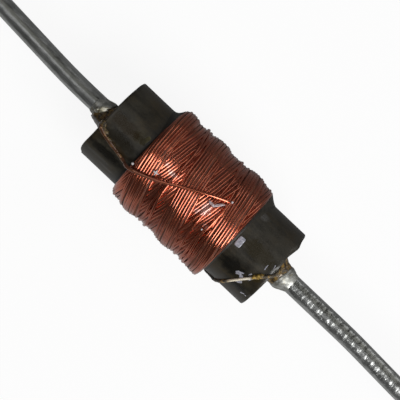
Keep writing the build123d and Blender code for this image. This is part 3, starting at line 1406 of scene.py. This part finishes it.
@dataclass
class WireTail:
    """A loose end of the winding's wire, swept along its route by Geometry Nodes.

    It is bare from bare_from to bare_to. Beyond them varnish covers it more and more, up to
    most_cover at a distance of fade.
    """

    name: str
    node: str
    waypoints: Sequence[Waypoint]
    bare_from: float
    bare_to: float
    fade: float
    most_cover: float
    wire_radius: float
    measures: Measures
    thickened: float = 0.25
    spacing: float = 0.04 * MM
    wander: float = 0.02 * MM
    sides: int = 12
    neck_radius: float = 0.47 * MM
    left_offset: float = -0.09 * MM
    right_offset: float = 0.05 * MM
    sink: float = 0.02 * MM
    drift_size: float = 0.8 * MM
    clot_size: float = 0.22 * MM

    def _point(self, waypoint: Waypoint) -> Vector:
        """Finds the middle of the wire.

        Args:
            waypoint: The waypoint.

        Returns:
            The point.
        """
        surface, offset = {
            Lies.WINDING: (self.measures.winding_radius - self.sink, 0.0),
            Lies.ROD: (self.measures.rod_radius, 0.0),
            Lies.LEFT_NECK: (self.neck_radius, self.left_offset),
            Lies.RIGHT_NECK: (self.neck_radius, self.right_offset),
        }[waypoint.lies]
        radius = surface + self.wire_radius + waypoint.lift
        return self.measures.on_round(waypoint.x, waypoint.angle, radius, offset)

    def _route(self) -> bpy.types.Object:
        """Makes the route as a smooth curve.

        Returns:
            The linked object.
        """
        curve = bpy.data.curves.new(self.name, "CURVE")
        curve.dimensions = "3D"
        curve.resolution_u = 12
        spline = curve.splines.new("NURBS")
        spline.points.add(len(self.waypoints) - 1)
        for target, waypoint in zip(spline.points, self.waypoints):
            target.co = (*self._point(waypoint), 1.0)
        spline.order_u = 3
        spline.use_endpoint_u = True
        return link(self.name, curve)

    def _recipe(self, values: Values) -> GeometryRecipe:
        """Makes the tree that sweeps the wire, thicker and browner where varnish covers it.

        Args:
            values: The tree's inputs.

        Returns:
            The tree.
        """
        recipe = GeometryRecipe("sweep_wire", values)
        wiring, make, read = recipe.wiring, recipe.wiring.make, recipe.input
        spaced = {0: read("Geometry"), "Length": read("spacing")}
        route = make("GeometryNodeResampleCurve", spaced, mode="LENGTH")
        place = make("GeometryNodeInputPosition")
        x = wiring.apart(place)[0]
        beyond = (read("bare_from") - x).most(x - read("bare_to")).most(0.0)
        cover = (beyond / read("fade")).least(1.0) * read("most_cover")
        named = recipe.store(route, COVER, cover)
        waves = {"Vector": place, "Scale": 1 / self.drift_size, "Detail": 1.0}
        drift = wiring.vector("SUBTRACT", make("ShaderNodeTexNoise", waves, "Color"), (0.5, 0.5, 0.5))
        wander = read("wander")
        offset = wiring.vector("MULTIPLY", drift, wiring.point(wander, wander, wander))
        laid = make("GeometryNodeSetPosition", {0: named, "Offset": offset})
        clots = wiring.grain(place, self.clot_size, 2.0) * 1.6 - 0.3
        recipe.sweep(laid, cover * clots * read("thickened") * 2.0 + 1.0)
        return recipe

    def build(self, finish: bpy.types.Material) -> None:
        """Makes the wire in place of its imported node.

        Args:
            finish: Its material.
        """
        own = (
            "spacing", "wander", "bare_from", "bare_to", "fade", "most_cover", "thickened", "sides",
            "wire_radius",
        )
        values = {name: getattr(self, name) for name in own} | {"material": finish}
        piece = self._recipe(values).apply(self.name, self._route(), values)
        dress(piece, Slot.COPPER, finish, self.node)


@dataclass
class Tails:
    """The wire's two ends: the finish over the winding's top, and the start from under it."""

    measures: Measures
    finish_route: tuple[Waypoint, ...] = Waypoint.table(
        (1.46, 19.6, Lies.WINDING, -0.23),
        (1.34, 18.2, Lies.WINDING, -0.15),
        (1.207, 16.8, Lies.WINDING, -0.07),
        (0.344, 7.2, Lies.WINDING, 0.05),
        (-0.742, -5.9, Lies.WINDING, 0.03),
        (-1.341, -13.9, Lies.WINDING, 0.01),
        (-1.94, -19.6, Lies.WINDING, 0.01),
        (-2.45, -24.0, Lies.WINDING, 0.0),
        (-2.74, -26.5, Lies.WINDING, -0.12),
        (-2.98, -28.0, Lies.ROD, 0.06),
        (-3.40, -26.5, Lies.ROD),
        (-3.83, -24.5, Lies.ROD),
        (-4.40, -21.0, Lies.ROD),
        (-4.72, -16.0, Lies.ROD, -0.02),
        (-4.80, -20.0, Lies.LEFT_NECK, 0.12),
        (-4.86, 40.0, Lies.LEFT_NECK),
        (-4.95, 100.0, Lies.LEFT_NECK),
    )
    start_route: tuple[Waypoint, ...] = Waypoint.table(
        (2.75, -112.0, Lies.ROD, 0.06),
        (2.945, -105.0, Lies.ROD, 0.03),
        (3.14, -87.0, Lies.ROD, 0.01),
        (3.378, -65.0, Lies.ROD),
        (3.685, -44.0, Lies.ROD),
        (4.136, -25.0, Lies.ROD),
        (4.55, -11.0, Lies.ROD),
        (4.74, -5.0, Lies.ROD, -0.06),
        (4.80, 0.0, Lies.RIGHT_NECK, 0.16),
        (4.88, 40.0, Lies.RIGHT_NECK),
        (4.96, 100.0, Lies.RIGHT_NECK),
    )

    def build(self, looks: Looks) -> None:
        """Makes both tails.

        Args:
            looks: The part's materials.
        """
        for name, route, bare_from, bare_to, fade, most_cover, radius, look in (
            ("finish", self.finish_route, -0.6, 5.0, 2.6, 0.92, 0.064, Look.COPPER),
            # Between 3.64 and 4.06 mm the start wire is bare and pale gold: painted highlight.
            ("start", self.start_route, 3.64, 4.06, 0.14, 0.95, 0.058, Look.GLEAM_WIRE),
        ):
            WireTail(
                f"{name}_wire", f"{name}_tail", route, bare_from * MM, bare_to * MM, fade * MM,
                most_cover, radius * MM, self.measures,
            ).build(looks[look])


@dataclass(frozen=True)
class RimMark(Tabled):
    """A place where an end face's rim stands out, or is worn away where height is below 0."""

    lengths: ClassVar[tuple[int, ...]] = (3,)
    side: int
    angle: float
    spread: float
    height: float


@dataclass
class FerriteRod:
    """The rod: ground round, with chipped edges and a resin-filled hole in each end."""

    measures: Measures
    chamfer: float = 0.07 * MM
    hole_radius: float = 0.55 * MM
    hole_depth: float = 0.30 * MM
    wave_size: float = 1.6 * MM
    wave_height: float = 0.004 * MM
    chip_size: float = 0.4 * MM
    chip_reach: float = 0.14 * MM
    chip_depth: float = 0.12 * MM
    rim_marks: tuple[RimMark, ...] = RimMark.table(
        (1, 44, 9, 0.075), (1, 24, 9, -0.045), (-1, -60, 22, 0.070), (-1, -88, 10, -0.160)
    )

    def _relief(self, point: Vector, angle: float, radius: float) -> float:
        """Finds the slight waves, and the chips along the end edges.

        Args:
            point: A point of the rod.
            angle: Its angle, in radians.
            radius: Its distance from the axis.

        Returns:
            How far the surface stands out there.
        """
        if radius < self.measures.rod_radius * 0.8:
            return 0.0
        wave = noise.noise(Vector((point.x / self.wave_size, angle * 1.5, 4.0))) * self.wave_height
        edge = max(0.0, 1 - (self.measures.rod_end - abs(point.x)) / self.chip_reach)
        seed = Vector((math.copysign(9.0, point.x), angle * 5.0, point.x / self.chip_size))
        return wave - max(0.0, noise.noise(seed) - 0.15) * edge * self.chip_depth

    def _end_wear(self, point: Vector, angle: float, radius: float) -> float:
        """Finds what the rim marks do to an end face.

        Args:
            point: A point of the rod.
            angle: Its angle, in radians.
            radius: Its distance from the axis.

        Returns:
            How far along the rod it moves.
        """
        if abs(point.x) < self.measures.rod_end - self.chamfer or radius < self.hole_radius * 1.5:
            return 0.0
        side = 1 if point.x > 0 else -1
        turn = (math.degrees(angle) + 180) % 360 - 180
        marks = (mark for mark in self.rim_marks if mark.side == side)
        height = sum(math.exp(-(((turn - mark.angle) / mark.spread) ** 2)) * mark.height for mark in marks)
        return side * height * min(1.0, radius / self.measures.rod_radius) ** 2

    def build(self, looks: Looks) -> None:
        """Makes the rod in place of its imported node.

        Args:
            looks: The part's materials.
        """
        end, radius, cut = self.measures.rod_end, self.measures.rod_radius, self.chamfer
        half = (
            Station(-end + self.hole_depth, self.hole_radius),
            Station(-end, self.hole_radius),
            Station(-end, radius - cut),
            Station(-end + cut * 0.3, radius - cut * 0.3),
            Station(-end + cut, radius),
        )
        stations = half + tuple(Station(-station.x, station.radius) for station in reversed(half))
        piece = Turned("rod", stations, self.measures, self._relief, self._end_wear, segments=180).build()
        dress(piece, Slot.FERRITE, looks[Look.FERRITE], "ferrite_core")


@dataclass
class LeadRoots:
    """What holds each lead: a resin neck on the rod's end, and solder over the wire's wraps."""

    measures: Measures
    left_lean: float = 0.42
    right_lean: float = 0.156
    lump_size: float = 0.28 * MM
    spacing: float = 0.03 * MM
    segments: int = 72

    def _lumpy(self, depth: float, salt: float) -> Relief:
        """Makes a surface uneven.

        Args:
            depth: How far they stand out.
            salt: What makes them differ from another piece's.

        Returns:
            What moves a point outwards.
        """

        def relief(point: Vector, angle: float, radius: float) -> float:
            """How far the surface stands out at a point."""
            return noise.fractal(point / self.lump_size + Vector((salt, 0, 0)), 1.0, 2.0, 3) * depth

        return relief

    @staticmethod
    def _leaning(slope: float, full_at: float, none_at: float) -> Relief:
        """Makes an edge lean.

        Args:
            slope: How far the edge moves along the rod for each metre towards +Y.
            full_at: Where the edge has all of it.
            none_at: Where an edge has none.

        Returns:
            What moves a point along the rod.
        """

        def shift(point: Vector, angle: float, radius: float) -> float:
            """How far along the rod a point moves."""
            share = (point.x - none_at) / (full_at - none_at)
            return slope * point.y * min(1.0, max(0.0, share))

        return shift

    def build(self, looks: Looks) -> None:
        """Makes both necks and both solder joints.

        Args:
            looks: The part's materials.
        """
        measures, past = self.measures, Station.past
        end, inside = measures.rod_end, measures.lead_radius * 0.9
        skin = measures.lead_radius + 0.004 * MM
        neck, tip = measures.left_neck_end, measures.left_solder_end
        left = (-end, (
            *past(-end, (0.25, 0.50, -0.03), (0.02, 0.66, -0.11), (-0.04, 0.69, -0.11)),
            *past(-end, (-0.14, 0.62, -0.10)),
            *past(neck, (0, 0.53, -0.09), (-0.12, 0.49, -0.07)),
            Station(neck - 0.14 * MM, inside),
        ))
        left_solder = (tip, (
            Station(neck + 0.06 * MM, inside, -0.02 * MM),
            *past(neck, (0.10, 0.46, -0.04), (0.05, 0.50, -0.04), (-0.02, 0.54, -0.035)),
            *past(neck, (-0.10, 0.545, -0.03), (-0.20, 0.505, -0.03), (-0.30, 0.455, -0.02)),
            Station(tip, skin, -0.01 * MM),
            Station(tip - 0.02 * MM, inside),
        ))
        neck, tip, side = measures.right_neck_end, measures.right_solder_end, 0.08 * MM
        right = (end, (
            *past(end, (-0.25, 0.50, 0.05), (-0.02, 0.72, 0.14), (0.03, 0.70, 0.13)),
            *past(end, (0.10, 0.64, 0.09), (0.19, 0.60, 0.06)),
            *past(neck, (0, 0.58, 0.04), (0.14, 0.54, 0.03)),
            Station(neck + 0.16 * MM, inside, side),
        ))
        right_solder = (tip, (
            Station(neck - 0.04 * MM, inside, side),
            *past(neck, (-0.01, 0.56, 0.03), (0.05, 0.59, 0.03), (0.20, 0.58, 0.03)),
            *past(neck, (0.30, 0.55, 0.04), (0.42, 0.49, 0.06)),
            Station(tip, skin, side),
            Station(tip + 0.02 * MM, inside, side),
        ))
        left_edge = (self.left_lean, measures.left_neck_end)
        right_edge = (self.right_lean, measures.right_neck_end)
        resin, solder = (Slot.RESIN, looks[Look.NECK]), (Slot.SOLDER, looks[Look.SOLDER])
        for name, node, (square_at, stations), looks_of, depth, edge in (
            ("neck_left", "lead_resin_left", left, resin, 0.04, left_edge),
            ("neck_right", "lead_resin_right", right, resin, 0.03, right_edge),
            ("solder_left", "solder_joint_left", left_solder, solder, 0.03, left_edge),
            ("solder_right", "solder_joint_right", right_solder, solder, 0.03, right_edge),
        ):
            lumps, skew = self._lumpy(depth * MM, square_at / MM), self._leaning(*edge, square_at)
            piece = Turned(
                name, stations, measures, lumps, skew,
                spacing=self.spacing, segments=self.segments, sharp_angle=math.pi,
            ).build()
            dress(piece, *looks_of, node)


@dataclass
class VarnishRings:
    """Varnish drawn up into the corner at each end of the winding, uneven round the rod."""

    measures: Measures
    left: tuple[float, float] = (0.30 * MM, 2.2)
    right: tuple[float, float] = (0.31 * MM, 1.35)
    thinnest: float = 0.20
    steps: int = 9
    spacing: float = 0.05 * MM
    segments: int = 120
    bite: float = 0.02 * MM
    tuck: float = 0.10 * MM
    lap: float = 0.04 * MM
    skin: float = 0.004 * MM

    def _ring(self, name: str, face: float, toe: float, height: float, hollow: float) -> bpy.types.Object:
        """Makes one ring.

        Args:
            name: Its name.
            face: Where the winding's face is along the rod.
            toe: Where the ring ends on the rod.
            height: How far it reaches up the winding's face.
            hollow: How hollow its own face is, where 1 is straight.

        Returns:
            The linked object.
        """
        rod = self.measures.rod_radius
        side = math.copysign(1.0, toe - face)
        reach = abs(toe - face)
        stations = [Station(face - side * self.tuck, rod - self.bite)]
        for step in range(self.steps + 1):
            share = step / self.steps
            x = face + side * (share * reach - self.lap)
            stations.append(Station(x, rod + height * (1 - share) ** hollow + self.skin))
        stations.append(Station(toe, rod - self.bite))

        def fullness(angle: float) -> float:
            """Finds how full the ring is: full towards +Y, and thin elsewhere.

            Args:
                angle: The angle, in radians.

            Returns:
                The share.
            """
            round_about = Vector((math.cos(angle) * 1.6, math.sin(angle) * 1.6, toe / MM))
            facing = max(0.0, math.sin(angle) - 0.45) / 0.55
            return self.thinnest + (1 - self.thinnest) * facing + noise.noise(round_about) * 0.12

        def relief(point: Vector, angle: float, radius: float) -> float:
            """How far the ring sinks at a point where it is thin."""
            return (fullness(angle) - 1) * max(0.0, radius - rod)

        def shift(point: Vector, angle: float, radius: float) -> float:
            """How far the ring draws back to the winding where it is thin."""
            return (fullness(angle) - 1) * (point.x - face)

        return Turned(
            name, stations, self.measures, relief, shift,
            spacing=self.spacing, segments=self.segments, sharp_angle=math.pi,
        ).build()

    def build(self, looks: Looks) -> None:
        """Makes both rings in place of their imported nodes.

        Args:
            looks: The part's materials.
        """
        measures = self.measures
        for end, face, toe, shape in (
            ("left", measures.winding_left, measures.left_toe, self.left),
            ("right", measures.winding_right, measures.right_toe, self.right),
        ):
            ring = self._ring(f"varnish_{end}", face, toe, *shape)
            dress(ring, Slot.VARNISH, looks[Look.VARNISH], f"coil_varnish_{end}")


@dataclass
class Drops:
    """Small drops of varnish, some with a painted sheen, and pale marks and drops of painted highlight, each
    stuck at its own place.
    """

    measures: Measures
    # Painted glints: pale marks where highlights lie on varnish drops on the rod.
    glints: tuple[Blob, ...] = Blob.table(
        (2.765, -3.5, 0.32, 0.52, 0.015, 4, 8.0, 0.05, 0.004),
        (3.62, -32.5, 0.42, 0.20, 0.012, 30, 2.5, 0.6),
        (3.80, -35.0, 0.24, 0.18, 0.012, -40, 2.5, 0.6),
        (3.88, -42.5, 0.44, 0.17, 0.012, 55, 2.5, 0.6),
        (3.99, -24.0, 0.16, 0.08, 0.012, 60, 2.5, 0.8),
        (4.13, -30.0, 0.10, 0.08, 0.012, 30, 2.5, 0.8),
        (4.30, -54.0, 0.20, 0.09, 0.010, 20, 2.5, 0.8),
        (4.47, -53.0, 0.10, 0.06, 0.010, -20, 2.5, 0.8),
        (4.26, -4.5, 0.06, 0.30, 0.008, 6, 2.5, 0.5),
        (4.50, 3.0, 0.035, 0.26, 0.006, 14, 2.5, 0.5),
    )
    beads: tuple[Blob, ...] = Blob.table(
        (-4.40, -19.0, 0.56, 0.34, 0.075, -14, 2.2, 0.5),
        (-4.58, -13.0, 0.24, 0.34, 0.05, 0, 2.2, 0.5),
        (-4.05, -22.5, 0.38, 0.24, 0.090, 4, 2.2, 0.4),
        (-3.70, -25.0, 0.30, 0.16, 0.09, 10, 2.2, 0.3),
    )
    drips: tuple[Blob, ...] = Blob.table(
        (4.34, -17.0, 0.38, 0.24, 0.125, 55, 2.2, 0.4),
        (4.18, -23.0, 0.30, 0.17, 0.120, 50, 2.2, 0.4),
    )
    # Real solder drops, painted pale cream where the solder's highlight lies: painted highlight.
    highlight_drops: tuple[Blob, ...] = Blob.table(
        (-5.14, 1.0, 0.27, 0.60, 0.035, -45, 2.2, 0.4, 0.025, 0.22),
        (-5.30, -24.0, 0.20, 0.26, 0.030, -30, 2.2, 0.5),
    )
    lumps: tuple[Blob, ...] = Blob.table(
        (2.98, -90.0, 0.62, 0.50, 0.085, 20, 2.2, 0.3),
        (2.70, -98.0, 0.34, 0.50, 0.090, 0, 2.2, 0.3),
        (3.26, -78.0, 0.26, 0.24, 0.060, 60, 2.2, 0.3),
    )
    # Painted glints: pale dots and a pale cross where small highlights lie on beads of varnish.
    speck_glints: tuple[Blob, ...] = Blob.table(
        (1.42, 19.5, 0.11, 0.11, 0.10, 0, 2.0, 0.1),
        (-1.66, -9.8, 0.28, 0.075, 0.020, 8, 2.0, 0.2, 0.045),
        (-1.66, -9.8, 0.075, 0.26, 0.020, 8, 2.0, 0.2, 0.045),
        (-2.61, -20.5, 0.13, 0.13, 0.06, 0, 2.0, 0.1, -0.16),
        (1.27, -19.5, 0.08, 0.08, 0.04, 0, 2.0, 0.2),
    )
    # Real varnish on the winding, painted pale where it reflects: painted reflection.
    sheen_films: tuple[Blob, ...] = Blob.table(
        (0.84, 5.0, 0.38, 0.13, 0.024, -6, 2.0, 0.5, 0.02),
        (1.115, 9.0, 0.50, 0.13, 0.024, 52, 2.0, 0.5, 0.02),
    )
    solder_radius: float = 0.53 * MM
    solder_offset: float = -0.03 * MM

    def build(self, looks: Looks) -> None:
        """Makes each kind of drop as one piece.

        Args:
            looks: The part's materials.
        """
        rod, winding = self.measures.rod_radius, self.measures.winding_radius
        for name, blobs, look, radius, offset in (
            ("glint_flakes", self.glints, Look.GLINT, rod, 0.0),
            ("dark_beads", self.beads, Look.CLOTS, rod, 0.0),
            ("amber_drips", self.drips, Look.AMBER, rod, 0.0),
            ("highlight_drops", self.highlight_drops, Look.HIGHLIGHT_SOLDER, self.solder_radius, self.solder_offset),
            ("varnish_lumps", self.lumps, Look.VARNISH, rod, 0.0),
            ("glint_specks", self.speck_glints, Look.SPECK_GLINT, winding - 0.02 * MM, 0.0),
            ("varnish_film_sheen", self.sheen_films, Look.FILM_SHEEN, winding - 0.03 * MM, 0.0),
        ):
            pieces = [blob.build(self.measures, radius, offset) for blob in blobs]
            dress(join_pieces(name, pieces), Slot.VARNISH, looks[look])


@dataclass(frozen=True)
class Lamp:
    """An area lamp that faces the part, with its face's brightness, where 1 is white."""

    name: str
    towards: Triple
    along: float
    across: float
    level: float
    distance: float = 0.30

    def build(self, target: Vector) -> None:
        """Adds the lamp.

        Args:
            target: The point that it faces.
        """
        light = bpy.data.lights.new(self.name, "AREA")
        light.shape = "RECTANGLE"
        light.size, light.size_y = self.along, self.across
        light.energy = self.level * math.pi * self.across * self.along
        outward = Vector(self.towards).normalized()
        across = outward.cross(Vector((1, 0, 0))).normalized()
        facing = Matrix((across.cross(outward), across, outward)).transposed().to_4x4()
        place = Matrix.Translation(target + outward * self.distance)
        link(self.name, light).matrix_world = place @ facing


@dataclass
class Studio:
    """The photograph's setting: a white table, a softbox off the rod's end and a dim room."""

    measures: Measures
    pixel: float = 0.0422 * MM
    frame_pixels: int = 400
    distance: float = 61.4 * MM
    aim_x: float = 0.401 * MM
    roll: float = math.atan2(0.6871, 0.7266)
    mirrored_room: float = 0.07
    room_level: float = 0.05
    table_half: float = 0.6
    table_glow: float = 0.90
    lamps: tuple[Lamp, ...] = (
        Lamp("softbox", (0.70, -0.19, 0.70), 0.20, 0.195, 6.9),
        Lamp("side_panel", (0.34, 0.78, 0.52), 0.12, 0.34, 1.00),
        Lamp("ceiling", (-0.34, 0.14, 0.93), 0.12, 0.30, 0.90),
    )

    def build(self) -> None:
        """Sets up the camera, the lamps, the table and the room."""
        self._camera()
        for lamp in self.lamps:
            lamp.build(Vector((0, 0, self.measures.axis_height)))
        self._table()
        self._room()
        bpy.context.scene.view_settings.view_transform = "Standard"

    def _camera(self) -> None:
        """Looks straight down, with the rod running down to the right of the picture."""
        camera = link("camera", bpy.data.cameras.new("camera"))
        cosine, sine = math.cos(self.roll), math.sin(self.roll)
        axes = (Vector((cosine, sine, 0)), Vector((-sine, cosine, 0)), Vector((0, 0, 1)))
        place = Vector((self.aim_x, 0, self.measures.axis_height + self.distance))
        camera.matrix_world = Matrix.Translation(place) @ Matrix(axes).transposed().to_4x4()
        camera.data.sensor_fit = "HORIZONTAL"
        camera.data.angle = 2 * math.atan(self.frame_pixels / 2 * self.pixel / self.distance)
        camera.data.clip_start = 1 * MM
        bpy.context.scene.camera = camera

    @staticmethod
    def _rays(wiring: Wiring) -> tuple[Signal, Signal]:
        """Whether a ray comes from the camera, and whether from a mirroring or clear surface."""
        camera = wiring.make("ShaderNodeLightPath", output="Is Camera Ray")
        return camera, camera.other("Is Glossy Ray").most(camera.other("Is Transmission Ray"))

    def _table(self) -> None:
        """A white table top that keeps a trace of the part's shadow. In reflections and bounced light it has
        a painted band of light just to the -Y side of the part, and is darker elsewhere.
        """
        half = self.table_half
        corners = [Vector((x * half, y * half, 0)) for x, y in ((-1, -1), (1, -1), (1, 1), (-1, 1))]
        table = mesh_object("table_top", corners, [(0, 1, 2, 3)])
        material = bpy.data.materials.new("table_white")
        wiring = Wiring.of(material)
        camera, mirrored = self._rays(wiring)
        y = wiring.apart(wiring.make("ShaderNodeTexCoord", output="Object"))[1]
        # Painted light: in reflections and bounced light the table is paler in a band just to the -Y side of
        # the part, and darker elsewhere.
        bright = y.rise(-26 * MM, -12 * MM) * y.rise(6 * MM, -3 * MM)
        sweep = wiring.blend(bright, (0.10, 0.10, 0.10), (0.45, 0.45, 0.45))
        matt = wiring.make("ShaderNodeBsdfDiffuse", {"Color": wiring.blend(camera, sweep, WHITE)})
        white = wiring.make("ShaderNodeEmission", {"Color": WHITE, "Strength": 1.0})
        share = (camera * self.table_glow).most(mirrored * self.mirrored_room)
        mixed = wiring.make("ShaderNodeMixShader", {0: share, 1: matt, 2: white})
        wiring.node("ShaderNodeOutputMaterial", {"Surface": mixed})
        table.data.materials.append(material)

    def _room(self) -> None:
        """White where the camera looks past the table, and dim as light and in reflections."""
        world = bpy.data.worlds.new("room")
        bpy.context.scene.world = world
        wiring = Wiring.of(world)
        camera, mirrored = self._rays(wiring)
        strength = camera.most(mirrored * self.mirrored_room).most(self.room_level)
        glow = wiring.make("ShaderNodeBackground", {"Color": WHITE, "Strength": strength})
        wiring.node("ShaderNodeOutputWorld", {"Surface": glow})


def main() -> None:
    """Builds the part's pieces in order and sets up the picture."""
    logging.basicConfig(level=logging.INFO, format="%(name)s: %(message)s")
    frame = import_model()
    measures = Measures.from_frame(frame)
    looks = {look: look.value.material(measures) for look in Look}
    Studio(measures).build()
    FerriteRod(measures).build(looks)
    CrossWinding(measures).build(looks)
    VarnishRings(measures).build(looks)
    LeadRoots(measures).build(looks)
    for name in ("lead_left", "lead_right"):
        coat(frame["nodes"][name], looks[Look.TINNED])
    Tails(measures).build(looks)
    Drops(measures).build(looks)


if __name__ == "__main__":
    main()
